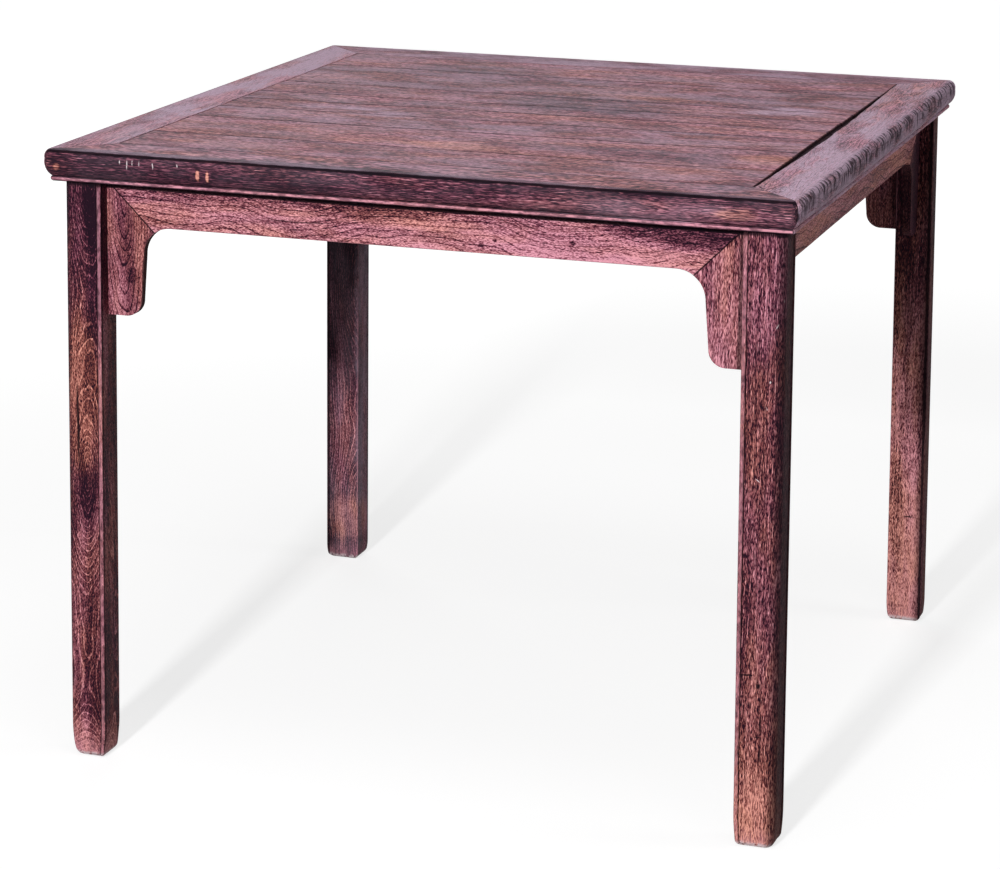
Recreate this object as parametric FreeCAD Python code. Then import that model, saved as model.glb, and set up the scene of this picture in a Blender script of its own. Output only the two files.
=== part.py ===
import FreeCAD, Part
import math
import os

# Square table with a mitred frame round a floating panel of boards. Millimetres, origin on the floor
# under the middle of the top, X to the right along the front, Y to the back, Z up.

# Overall sizes
top_side = 1000.0
table_height = 836.0
frame_thickness = 42.0
frame_width = 74.0

# Moulded outer edge of the frame, from the top arris down to the bead
edge_arris_inset = 7.0
edge_widest_depth = 12.5
edge_foot_inset = 9.5
edge_foot_corner_radius = 1.5
edge_bead_height = 6.0
edge_bead_rise = 2.3
edge_bead_lift = 0.5

# Corner joint of the frame: a tenon of the stile, pegged from below in the end rail
corner_tenon_depth = 14.0
corner_tenon_thickness = 11.0
corner_tenon_cover = 12.0
corner_tenon_shoulder = 11.0
corner_tenon_width = 17.0
peg_diameter = 5.0
peg_end_distance = 4.5
peg_length = 32.0

# Floating panel of boards
panel_thickness = 14.0
tongue_depth = 4.5
tongue_thickness = 5.0
frame_tongue = 8.0
groove_room = 1.0
board_tongue = 5.0
board_joint_gap = 0.4
panel_gap = 0.6
panel_gap_right = 4.0

# Joints between the boards: left and right ends, as shares of the panel from front to back
board_joint_shares = ((0.122, 0.127), (0.277, 0.289), (0.379, 0.410), (0.468, 0.496),
                      (0.545, 0.576), (0.658, 0.658), (0.860, 0.856))
# Open gap at the right end of each board, front to back, as shares of the widest gap
right_gap_shares = (0.55, 0.85, 1.0, 1.0, 0.9, 0.6, 0.45, 0.25)

# Battens under the panel, running from front to back
batten_spacing = 250.0
batten_width = 34.0
batten_height = 23.0
dovetail_height = 5.0
dovetail_neck = 20.0
dovetail_head = 26.0
batten_tenon_width = 22.0
batten_tenon_height = 11.0
batten_tenon_length = 16.0

# Legs
leg_overhang = 20.0
leg_width = 53.0
leg_depth = 46.0
leg_corner_radius = 12.0
leg_splay = 11.5
foot_rounding = 9.0
leg_bead_width = 5.5
leg_bead_rise = 1.4
leg_quirk_width = 1.2
leg_quirk_depth = 1.2
leg_tenon_shoulder = 5.0
leg_tenon_thickness = 13.0
leg_mitre_land = 4.0
long_tenon_height = 27.0
short_tenon_height = 12.0

# Aprons and spandrels
apron_recess = 19.0
apron_thickness = 12.0
apron_height = 59.0
apron_tongue_thickness = 4.0
apron_tongue_height = 5.0
spandrel_height = 179.0
spandrel_width = 50.0
spandrel_taper = 5.0
spandrel_fillet = 38.0
spandrel_corner_radius = 22.0
spandrel_tongue_thickness = 4.0
spandrel_tongue_length = 8.0
spandrel_tongue_stop = 12.0
key_length = 20.0
key_width = 24.0
key_thickness = 4.0

# Fits
joint_clearance = 0.15
cut_overrun = 5.0

V = FreeCAD.Vector
half = top_side / 2
inner = half - frame_width
frame_under = table_height - frame_thickness
panel_under = table_height - panel_thickness
tongue_top = table_height - tongue_depth
tongue_bottom = tongue_top - tongue_thickness
diagonal = math.sqrt(0.5)
sides = ("front", "right", "back", "left")


def box_between(a, b):
    """Upright box with a and b as opposite corners"""
    low = V(min(a.x, b.x), min(a.y, b.y), min(a.z, b.z))
    return Part.makeBox(abs(a.x - b.x), abs(a.y - b.y), abs(a.z - b.z), low)


def prism(points, along):
    """Closed outline of straight lines, drawn out along a vector"""
    return Part.Face(Part.makePolygon(points + points[:1])).extrude(along)


def line(a, b):
    return Part.LineSegment(a, b).toShape()


def arc(a, middle, b):
    return Part.Arc(a, middle, b).toShape()


def turned(shape, side):
    """A shape made for the front, turned about the table's axis to one of its four sides"""
    copy = shape.copy()
    copy.rotate(V(0, 0, 0), V(0, 0, 1), 90 * sides.index(side))
    return copy


def one_solid(shape):
    """The cleaned solid of a boolean result"""
    clean = shape.removeSplitter()
    return clean.Solids[0] if len(clean.Solids) == 1 else clean


def corner_point(side_x, side_y, u, v, z):
    """Point at a corner of the table, u and v in from the widest lines of the top's edges"""
    return V(side_x * (half - u), side_y * (half - v), z)


def corner_box(side_x, side_y, u, v, z, room=0.0):
    """Box at a corner of the table from three ranges, swollen sideways and upwards by a clearance"""
    a = corner_point(side_x, side_y, u[0] - room, v[0] - room, z[0])
    b = corner_point(side_x, side_y, u[1] + room, v[1] + room, z[1] + room)
    return box_between(a, b)


# Places that pieces share at a corner
leg_u = (leg_overhang, leg_overhang + leg_width)
leg_v = (leg_overhang, leg_overhang + leg_depth)
tenon_near = leg_overhang + leg_tenon_shoulder
tenon_far = tenon_near + leg_tenon_thickness
long_u = (tenon_far + leg_mitre_land, leg_u[1] - leg_tenon_shoulder)
long_v = (tenon_near, tenon_far)
short_u = (tenon_near, tenon_far)
short_v = (tenon_far + leg_mitre_land, leg_v[1] - leg_tenon_shoulder)
corner_tenon_u = (corner_tenon_cover, frame_width)
corner_tenon_inner = frame_width - corner_tenon_shoulder
corner_tenon_v = (corner_tenon_inner - corner_tenon_width, corner_tenon_inner)
corner_tenon_top = table_height - corner_tenon_depth
corner_tenon_z = (corner_tenon_top - corner_tenon_thickness, corner_tenon_top)
peg_u = corner_tenon_cover + peg_end_distance
peg_v = (corner_tenon_v[0] + corner_tenon_v[1]) / 2
apron_front = leg_overhang + apron_recess
corners = {"front_left": (-1, -1), "front_right": (1, -1), "back_left": (-1, 1), "back_right": (1, 1)}


# Frame of the top
def frame_section(x, inner_inset):
    """Section of the front member at x: moulded outside, upright at an inset inside"""
    def at(inset, depth):
        return V(x, inset - half, table_height - depth)

    bead_bottom = frame_thickness - edge_bead_lift
    bead_top = bead_bottom - edge_bead_height
    curl = bead_top - edge_widest_depth
    arris = at(edge_arris_inset, 0)
    shoulder = at(edge_arris_inset * (1 - diagonal), edge_widest_depth * (1 - diagonal))
    widest = at(0, edge_widest_depth)
    belly = at(edge_foot_inset * (1 - diagonal), edge_widest_depth + curl * diagonal)
    foot = at(edge_foot_inset, bead_top)
    bead_nose = at(edge_foot_inset - edge_bead_rise, (bead_top + bead_bottom) / 2)
    bead_end = at(edge_foot_inset, bead_bottom)
    under_out = at(edge_foot_inset, frame_thickness)
    under_in = at(inner_inset, frame_thickness)
    top_in = at(inner_inset, 0)
    edges = [arc(arris, shoulder, widest), arc(widest, belly, foot), arc(foot, bead_nose, bead_end)]
    edges += [line(bead_end, under_out), line(under_out, under_in)]
    edges += [line(under_in, top_in), line(top_in, arris)]
    return Part.Face(Part.Wire(edges))


def frame_blank():
    """Front member before its joints: moulded outside and round its corners, grooved inside, mitred"""
    bar = frame_section(-half, frame_width).extrude(V(top_side, 0, 0))
    corner_axis = edge_foot_inset + edge_foot_corner_radius
    corner_range = (-cut_overrun, corner_axis)
    seam_turn = 135
    for side_x in (-1, 1):
        axis = corner_point(side_x, -1, corner_axis, corner_axis, 0)
        square = corner_box(side_x, -1, corner_range, corner_range, (0, table_height + cut_overrun))
        round_end = frame_section(axis.x, corner_axis).revolve(axis, V(0, 0, 1), 360)
        round_end.rotate(axis, V(0, 0, 1), seam_turn)
        bar = bar.cut(square).fuse(round_end.common(square))
    groove_low = V(-half, -inner - frame_tongue - groove_room, tongue_bottom - joint_clearance)
    groove_high = V(half, -inner + cut_overrun, tongue_top + joint_clearance)
    bar = bar.cut(box_between(groove_low, groove_high))
    reach = frame_width + cut_overrun
    plan = [V(-half, -half, 0), V(half, -half, 0)]
    plan += [V(half - reach, reach - half, 0), V(reach - half, reach - half, 0)]
    return bar.common(prism(plan, V(0, 0, table_height)))


def corner_tenon(side_x, side_y, room=0.0):
    return corner_box(side_x, side_y, corner_tenon_u, corner_tenon_v, corner_tenon_z, room)


def corner_peg(side_x, side_y, room=0.0):
    foot = corner_point(side_x, side_y, peg_u, peg_v, frame_under)
    return Part.makeCylinder(peg_diameter / 2 + room, peg_length + room, foot)


def leg_tenons(side_x, side_y, room=0.0):
    """Long tenon for the stile and short tenon for the end rail"""
    long_z = (frame_under, frame_under + long_tenon_height)
    short_z = (frame_under, frame_under + short_tenon_height)
    long = corner_box(side_x, side_y, long_u, long_v, long_z, room)
    short = corner_box(side_x, side_y, short_u, short_v, short_z, room)
    return long, short


def apron_tongue(half_span, room=0.0):
    """Tongue along the top of the front apron, let into the underside of the frame"""
    middle = apron_front + apron_thickness / 2 - half
    reach = half_span - spandrel_width + room
    depth = apron_tongue_thickness / 2 + room
    a = V(-reach, middle - depth, frame_under)
    b = V(reach, middle + depth, frame_under + apron_tongue_height + room)
    return box_between(a, b)


def batten_tenon(place, side_y, room=0.0):
    middle = panel_under - batten_height / 2
    wide = batten_tenon_width / 2 + room
    high = batten_tenon_height / 2 + room
    a = V(place - wide, side_y * inner, middle - high)
    b = V(place + wide, side_y * (inner + batten_tenon_length + room), middle + high)
    return box_between(a, b)


half_spans = dict(zip(sides, (half - leg_u[1], half - leg_v[1], half - leg_u[1], half - leg_v[1])))
batten_places = {"left": -batten_spacing, "middle": 0, "right": batten_spacing}


def stile(side, side_y):
    """Front or back member with its two corner tenons, sockets for the legs and mortises for the battens"""
    body = turned(frame_blank(), side)
    for side_x in (-1, 1):
        body = body.fuse(corner_tenon(side_x, side_y))
        body = body.cut(leg_tenons(side_x, side_y, joint_clearance)[0])
        body = body.cut(corner_peg(side_x, side_y, joint_clearance))
    for place in batten_places.values():
        body = body.cut(batten_tenon(place, side_y, joint_clearance))
    return one_solid(body.cut(turned(apron_tongue(half_spans[side], joint_clearance), side)))


def end_rail(side, side_x):
    """Left or right member with its mortises for the stiles, sockets for the legs and peg holes"""
    body = turned(frame_blank(), side)
    for side_y in (-1, 1):
        body = body.cut(corner_tenon(side_x, side_y, joint_clearance))
        body = body.cut(leg_tenons(side_x, side_y, joint_clearance)[1])
        body = body.cut(corner_peg(side_x, side_y, joint_clearance))
    return one_solid(body.cut(turned(apron_tongue(half_spans[side], joint_clearance), side)))


# Boards of the panel
def joint_line(shares, x):
    """Place from front to back of a joint between boards at a given x"""
    left, right = [2 * inner * share - inner for share in shares]
    return left + (right - left) * (x + inner) / (2 * inner)


def strip(lower, upper, x_range, z_range):
    """Flat piece between two joint lines, each given as its shares and a shift to the back"""
    def at(edge, x):
        return V(x, joint_line(edge[0], x) + edge[1], z_range[0])

    outline = [at(lower, x_range[0]), at(lower, x_range[1]), at(upper, x_range[1]), at(upper, x_range[0])]
    return prism(outline, V(0, 0, z_range[1] - z_range[0]))


def dovetail(place, room=0.0):
    """Dovetailed ridge of a batten, along the whole panel"""
    neck = dovetail_neck / 2 + room
    head = dovetail_head / 2 + room
    top = panel_under + dovetail_height + room
    outline = [V(place - neck, -inner, panel_under), V(place + neck, -inner, panel_under)]
    outline += [V(place + head, -inner, top), V(place - head, -inner, top)]
    return prism(outline, V(0, 2 * inner, 0))


def board(number):
    """One board: tongued at both ends, tongued at the back and grooved at the front"""
    lines = ((0, 0),) + board_joint_shares + ((1, 1),)
    front, back = lines[number], lines[number + 1]
    first = number == 0
    last = number == len(board_joint_shares)
    front_gap = panel_gap if first else board_joint_gap / 2
    back_gap = panel_gap if last else board_joint_gap / 2
    ends = (panel_gap - inner, inner - panel_gap_right * right_gap_shares[number])
    tongue_ends = (ends[0] - frame_tongue, ends[1] + frame_tongue)
    tongue_z = (tongue_bottom, tongue_top)
    low, high = (front, front_gap), (back, -back_gap)
    body = strip(low, high, ends, (panel_under, table_height))
    body = body.fuse(strip(low, high, tongue_ends, tongue_z))
    back_tongue = frame_tongue if last else board_tongue
    body = body.fuse(strip(high, (back, back_tongue - back_gap), ends, tongue_z))
    if first:
        body = body.fuse(strip((front, front_gap - frame_tongue), low, ends, tongue_z))
    else:
        groove_ends = (tongue_ends[0] - cut_overrun, tongue_ends[1] + cut_overrun)
        groove_z = (tongue_bottom - joint_clearance, tongue_top + joint_clearance)
        deep = (front, board_tongue + joint_clearance)
        body = body.cut(strip((front, -cut_overrun), deep, groove_ends, groove_z))
    for place in batten_places.values():
        body = body.cut(dovetail(place, joint_clearance))
    return one_solid(body)


# Battens
def batten(place):
    """Cross bar dovetailed into the panel from below and tenoned into both stiles"""
    a = V(place - batten_width / 2, -inner, panel_under - batten_height)
    b = V(place + batten_width / 2, inner, panel_under)
    body = box_between(a, b).fuse(dovetail(place))
    for side_y in (-1, 1):
        body = body.fuse(batten_tenon(place, side_y))
    return one_solid(body)


# Aprons and spandrels, made for the front and turned to the other sides
def face_at(half_span, z):
    """Distance from the middle of a side to the leaning inner face of its legs at a height"""
    return half_span + leg_splay * (frame_under - z) / frame_under


def run_outline(half_span):
    """Front view of an apron with a spandrel at each end, as one board"""
    low = frame_under - spandrel_height
    straight = frame_under - apron_height
    turn = half_span - spandrel_width
    toe = turn + spandrel_taper

    def right(s, z):
        return V(s, apron_front - half, z)

    def left(s, z):
        return V(-s, apron_front - half, z)

    edges = []
    toe_inset = spandrel_corner_radius * (1 - diagonal)
    fillet_inset = spandrel_fillet * (1 - diagonal)
    for at in (left, right):
        top_corner = at(half_span, frame_under)
        low_corner = at(face_at(half_span, low), low)
        toe_end = at(toe + spandrel_corner_radius, low)
        toe_middle = at(toe + toe_inset, low + toe_inset)
        toe_start = at(toe, low + spandrel_corner_radius)
        fillet_start = at(turn, straight - spandrel_fillet)
        fillet_middle = at(turn - fillet_inset, straight - fillet_inset)
        fillet_end = at(turn - spandrel_fillet, straight)
        edges += [line(top_corner, low_corner), line(low_corner, toe_end)]
        edges += [arc(toe_end, toe_middle, toe_start), line(toe_start, fillet_start)]
        edges += [arc(fillet_start, fillet_middle, fillet_end)]
        edges += [line(fillet_end, at(0, straight)), line(top_corner, at(0, frame_under))]
    return Part.Face(Part.Wire(Part.__sortEdges__(edges)))


def beside_mitre(half_span, side):
    """Space on the leg's side of the mitre between apron and spandrel"""
    reach = spandrel_height + cut_overrun
    y = apron_front - half - cut_overrun
    outer = side * (half_span + reach)
    outline = [V(side * half_span, y, frame_under), V(side * (half_span - reach), y, frame_under - reach)]
    outline += [V(outer, y, frame_under - reach), V(outer, y, frame_under)]
    return prism(outline, V(0, apron_thickness + 2 * cut_overrun, 0))


def mitre_key(half_span, side, room=0.0):
    """Loose tenon across the middle of a mitre"""
    mitre_rise = apron_height + spandrel_fillet * (1 - diagonal)
    middle = V(side * (half_span - mitre_rise / 2), 0, frame_under - mitre_rise / 2)
    along = V(side, 0, 1) * diagonal * (key_width / 2 + room)
    across = V(side, 0, -1) * diagonal * (key_length / 2 + room)
    deep = key_thickness / 2 + room
    shift = V(0, apron_front + apron_thickness / 2 - half - deep, 0)
    corners_of_key = (along + across, across - along, V(0, 0, 0) - along - across, along - across)
    return prism([middle + corner + shift for corner in corners_of_key], V(0, 2 * deep, 0))


def spandrel_tongue(half_span, side, room=0.0):
    """Tongue on the upright edge of a spandrel, let into the leaning inner face of the leg"""
    stop = frame_under - spandrel_height + spandrel_tongue_stop
    deep = spandrel_tongue_thickness / 2 + room
    y = apron_front + apron_thickness / 2 - half - deep
    reach = spandrel_tongue_length + room
    outline = [V(side * face_at(half_span, z), y, z) for z in (frame_under, stop - room)]
    outline += [V(side * (face_at(half_span, z) + reach), y, z) for z in (stop - room, frame_under)]
    return prism(outline, V(0, 2 * deep, 0))


def apron_and_spandrels(half_span):
    """Apron and its left and right spandrels for a front side"""
    run = run_outline(half_span).extrude(V(0, apron_thickness, 0))
    apron = run.fuse(apron_tongue(half_span))
    spandrels = {}
    for side in (-1, 1):
        beside = beside_mitre(half_span, side)
        slot = mitre_key(half_span, side, joint_clearance)
        apron = apron.cut(beside).cut(slot)
        spandrels[side] = one_solid(run.common(beside).fuse(spandrel_tongue(half_span, side)).cut(slot))
    return one_solid(apron), spandrels


# Legs
def leg(side_x, side_y):
    """Leaning leg with a rounded outer corner, a beaded edge on both outer faces and two tenons on top"""
    def at(u, v):
        return corner_point(side_x, side_y, u, v, frame_under)

    def lean(length):
        return V(side_x * leg_splay, side_y * leg_splay, -frame_under) * (length / frame_under)

    def drawn(edges, length):
        return Part.Face(Part.Wire(edges)).extrude(lean(length))

    def post(near, corner_radius, rounding):
        """Plain leg with a rounded outer corner and a rounded foot"""
        round_in = near + corner_radius
        round_mid = near + corner_radius * (1 - diagonal)
        outline = [arc(at(near, round_in), at(round_mid, round_mid), at(round_in, near))]
        outline += [line(at(round_in, near), at(leg_u[1], near))]
        outline += [line(at(leg_u[1], near), at(leg_u[1], leg_v[1]))]
        outline += [line(at(leg_u[1], leg_v[1]), at(near, leg_v[1]))]
        outline += [line(at(near, leg_v[1]), at(near, round_in))]
        square_foot = drawn(outline, frame_under)
        foot_edges = [edge for edge in square_foot.Edges if edge.BoundBox.ZMax < rounding]
        return square_foot.makeFillet(rounding, foot_edges)

    def swapped(a, b):
        return at(b, a)

    near = leg_overhang
    body = post(near, leg_corner_radius, foot_rounding)
    round_bead = post(near - leg_bead_rise, leg_corner_radius + leg_bead_rise, foot_rounding + leg_bead_rise)
    bead_root = near + foot_rounding
    quirk_floor = near + leg_quirk_depth
    for face_point, edge_line in ((at, leg_u[1]), (swapped, leg_v[1])):
        bead_start = edge_line - leg_bead_width
        quirk_start = bead_start - leg_quirk_width
        nose = face_point(edge_line - leg_bead_width / 2, near - leg_bead_rise)
        bead_edges = [arc(face_point(bead_start, near), nose, face_point(edge_line, near))]
        bead_edges += [line(face_point(edge_line, near), face_point(edge_line, bead_root))]
        bead_edges += [line(face_point(edge_line, bead_root), face_point(bead_start, bead_root))]
        bead_edges += [line(face_point(bead_start, bead_root), face_point(bead_start, near))]
        body = body.fuse(drawn(bead_edges, frame_under).common(round_bead))
        quirk = [face_point(quirk_start, near), face_point(bead_start, near)]
        quirk += [face_point(bead_start, quirk_floor), face_point(quirk_start, quirk_floor)]
        body = body.cut(prism(quirk, lean(frame_under)))
    for tenon in leg_tenons(side_x, side_y):
        body = body.fuse(tenon)
    return body


def finish_leg(side_x, side_y):
    """Leg with the two grooves that take the tongues of its spandrels"""
    body = leg(side_x, side_y)
    front_back = "front" if side_y < 0 else "back"
    left_right = "left" if side_x < 0 else "right"
    for side, end in ((front_back, side_x * -side_y), (left_right, side_x * side_y)):
        body = body.cut(turned(spandrel_tongue(half_spans[side], end, joint_clearance), side))
    return one_solid(body)


# The assembled table
nodes = {}
nodes["front_stile"] = stile("front", -1)
nodes["back_stile"] = stile("back", 1)
nodes["left_end_rail"] = end_rail("left", -1)
nodes["right_end_rail"] = end_rail("right", 1)
for number in range(len(right_gap_shares)):
    nodes["panel_board_%d" % (number + 1)] = board(number)
for name, place in batten_places.items():
    nodes["batten_" + name] = batten(place)
for name, (side_x, side_y) in corners.items():
    nodes["leg_" + name] = finish_leg(side_x, side_y)

spandrel_ends = {"front": ("left", "right"), "right": ("front", "back"),
                 "back": ("right", "left"), "left": ("back", "front")}
keys = []
for side, ends in spandrel_ends.items():
    apron, spandrels = apron_and_spandrels(half_spans[side])
    nodes["apron_" + side] = turned(apron, side)
    for direction, end in zip((-1, 1), ends):
        nodes["spandrel_%s_%s" % (side, end)] = turned(spandrels[direction], side)
        keys.append(turned(mitre_key(half_spans[side], direction), side))
nodes["mitre_keys"] = Part.makeCompound(keys)
nodes["corner_pegs"] = Part.makeCompound([corner_peg(*corner) for corner in corners.values()])

os.makedirs("parts", exist_ok=True)
for name, shape in nodes.items():
    shape.exportStep("parts/%s.step" % name)
    print(name, len(shape.Solids), "solids", round(shape.Volume / 1000), "cm3", shape.isValid())
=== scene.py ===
import math
import bmesh
import bpy
from mathutils import Euler, Matrix, Vector, noise


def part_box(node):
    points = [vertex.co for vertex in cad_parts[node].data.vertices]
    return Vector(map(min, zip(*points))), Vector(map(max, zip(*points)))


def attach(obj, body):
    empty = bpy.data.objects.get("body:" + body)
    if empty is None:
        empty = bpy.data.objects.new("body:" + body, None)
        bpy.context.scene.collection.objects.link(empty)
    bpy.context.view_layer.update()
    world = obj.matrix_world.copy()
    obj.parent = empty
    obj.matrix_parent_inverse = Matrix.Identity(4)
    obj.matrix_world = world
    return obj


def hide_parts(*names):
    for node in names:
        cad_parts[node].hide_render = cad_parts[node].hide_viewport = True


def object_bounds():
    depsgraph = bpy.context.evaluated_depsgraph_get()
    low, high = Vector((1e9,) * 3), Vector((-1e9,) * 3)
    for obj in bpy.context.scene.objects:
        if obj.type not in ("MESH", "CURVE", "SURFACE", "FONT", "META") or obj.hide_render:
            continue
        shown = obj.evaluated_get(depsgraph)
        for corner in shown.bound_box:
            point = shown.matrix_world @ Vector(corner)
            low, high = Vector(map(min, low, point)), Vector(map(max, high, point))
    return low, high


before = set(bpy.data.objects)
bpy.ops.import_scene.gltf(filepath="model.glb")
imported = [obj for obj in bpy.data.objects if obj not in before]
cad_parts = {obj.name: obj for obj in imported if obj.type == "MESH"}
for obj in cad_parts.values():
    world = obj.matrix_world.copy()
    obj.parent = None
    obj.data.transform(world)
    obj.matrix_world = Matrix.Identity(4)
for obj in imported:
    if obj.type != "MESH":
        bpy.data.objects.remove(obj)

cad_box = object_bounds()

# Legs: four square posts of dark rosewood, rounded at the outer corner and beaded along both inner
# edges. Each is planed from one length, leans outwards a little and is tenoned up into the frame.
MERGE_DISTANCE = 1e-6
FLAT_ANGLE = math.radians(1.0)
SHARP_ANGLE = math.radians(50)
SMOOTH_ANGLE = math.radians(34)
BODY = "root"
X, Y, Z = 0, 1, 2


def copy_of(node):
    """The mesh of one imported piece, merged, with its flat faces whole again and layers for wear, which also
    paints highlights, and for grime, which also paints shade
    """
    bm = bmesh.new()
    bm.from_mesh(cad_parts[node].data)
    bmesh.ops.remove_doubles(bm, verts=bm.verts, dist=MERGE_DISTANCE)
    bmesh.ops.dissolve_limit(bm, angle_limit=FLAT_ANGLE, verts=bm.verts, edges=bm.edges)
    bm.verts.layers.float.new("wear_and_highlight")
    bm.verts.layers.float.new("grime_and_shade")
    return bm


def cut_across(bm, axis, places):
    """Cuts a mesh across its length, so that its edges can wear unevenly"""
    normal = Vector((0, 0, 0))
    normal[axis] = 1
    for place in places:
        everything = bm.verts[:] + bm.edges[:] + bm.faces[:]
        bmesh.ops.bisect_plane(bm, geom=everything, dist=MERGE_DISTANCE,
                               plane_co=normal * place, plane_no=normal)


def steps(start, end, spacing):
    """Evenly spaced places strictly between two ends"""
    count = max(1, round((end - start) / spacing))
    return [start + (end - start) * number / count for number in range(1, count)]


def sharp_edges(bm, wanted):
    """The outward corners of a mesh whose middle passes a test"""
    found = []
    for edge in bm.edges:
        if not edge.is_manifold or edge.calc_face_angle_signed(0) < SHARP_ANGLE:
            continue
        if wanted((edge.verts[0].co + edge.verts[1].co) / 2):
            found.append(edge)
    return found


def ease(bm, edges, offset, depth, mark, grain=70.0):
    """Rounds edges over, wears them unevenly by up to a depth and marks them"""
    made = bmesh.ops.bevel(bm, geom=edges, offset=offset, offset_type="OFFSET", affect="EDGES",
                           segments=3, profile=0.5, material=-1, clamp_overlap=True)
    layer = bm.verts.layers.float[mark]
    rounded = set(made["faces"])
    bm.normal_update()
    for vert in made["verts"]:
        if all(face in rounded for face in vert.link_faces):
            share = 0.5 + 0.5 * noise.noise(vert.co * grain)
            vert[layer] = 0.5 + 0.5 * share
            vert.co -= vert.normal * depth * share


def mark_where(bm, name, amount):
    """Sets a layer on every vertex for which a function of its place gives an amount"""
    layer = bm.verts.layers.float[name]
    for vert in bm.verts:
        vert[layer] = max(vert[layer], amount(vert.co))


def finish_piece(bm, name, node, material):
    """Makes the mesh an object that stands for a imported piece"""
    mesh = bpy.data.meshes.new(name)
    bm.to_mesh(mesh)
    bm.free()
    mesh.shade_smooth()
    mesh.set_sharp_from_angle(angle=SMOOTH_ANGLE)
    mesh.materials.append(material)
    piece = bpy.data.objects.new(name, mesh)
    bpy.context.scene.collection.objects.link(piece)
    weighted = piece.modifiers.new("weighted_normals", "WEIGHTED_NORMAL")
    weighted.keep_sharp = True
    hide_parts(node)
    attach(piece, BODY)
    return piece


def add(tree, kind, *inputs, **settings):
    """A node whose inputs are given in order: sockets are linked and plain values are set"""
    made = tree.nodes.new("ShaderNode" + kind)
    for key, value in settings.items():
        setattr(made, key, value)
    for socket, value in zip(made.inputs, inputs):
        if isinstance(value, bpy.types.NodeSocket):
            tree.links.new(value, socket)
        elif value is not None:
            socket.default_value = value
    return made


def maths(tree, operation, a, b=None, c=None):
    return add(tree, "Math", a, b, c, operation=operation).outputs[0]


def ramp(tree, value, start, end, low=0.0, high=1.0):
    """A value eased from one range into another"""
    made = add(tree, "MapRange", value, start, end, low, high, interpolation_type="SMOOTHSTEP")
    return made.outputs[0]


def blend(tree, share, first, second):
    return add(tree, "MixRGB", share, first, second).outputs[0]


def stretched_noise(tree, place, scale, detail=1.0, shift=0.0):
    """Noise drawn out along the grain: its scale is per metre along, across and through the wood"""
    moved = add(tree, "Mapping", place, (shift, shift, shift), (0, 0, 0), scale).outputs[0]
    made = add(tree, "TexNoise", moved)
    made.inputs["Scale"].default_value = 1.0
    made.inputs["Detail"].default_value = detail
    made.inputs["Roughness"].default_value = 0.55
    return made


# Colours of the wood from its darkest streaks to its worn edges, most of them as a rosy and an orange tint
DEEP_WOOD = (0.012, 0.003, 0.009, 1)
DARK_WOOD = ((0.092, 0.019, 0.040, 1), (0.110, 0.024, 0.022, 1))
ROSE_WOOD = ((0.29, 0.090, 0.125, 1), (0.33, 0.110, 0.090, 1))
PALE_WOOD = ((0.72, 0.32, 0.40, 1), (0.76, 0.335, 0.26, 1))
# Dust, whose colour also paints sheen, scuffs, whose colour also paints a highlight on the front arris, and
# soot, whose colour also paints shade
DUST_AND_SHEEN = (0.68, 0.49, 0.63, 1)
SCUFF_AND_HIGHLIGHT = (0.86, 0.74, 0.77, 1)
SOOT_AND_SHADE = (0.006, 0.003, 0.006, 1)
# Inputs of the wood. Tone is how pale it is and warmth how orange. Rings are counted per metre, flame bends
# them, wave swings the heart of the log to and fro, and line is the strength of the ring lines, dark below
# zero. Shortness and fineness scale the fibres. The upright share is how much of the dust, which also paints a
# sheen, lies on upright faces. Wear also paints highlights on beads, scuff partly paints one on the front
# arris, and grime also paints shade.
WOOD_INPUTS = {"Tone": 0.0, "Rings": 200.0, "Flame": 8.0, "Wave": 0.0, "Line": 0.3, "Fibre": 0.4,
               "Streak": 0.25, "Warmth": 0.2, "Shortness": 1.0, "Fineness": 1.0, "Dust": 0.0,
               "Film": 0.12, "WearAndHighlight": 0.0, "GrimeAndShade": 0.0, "ScuffAndHighlight": 0.0}
WAVE_RATE = 7.48


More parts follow.
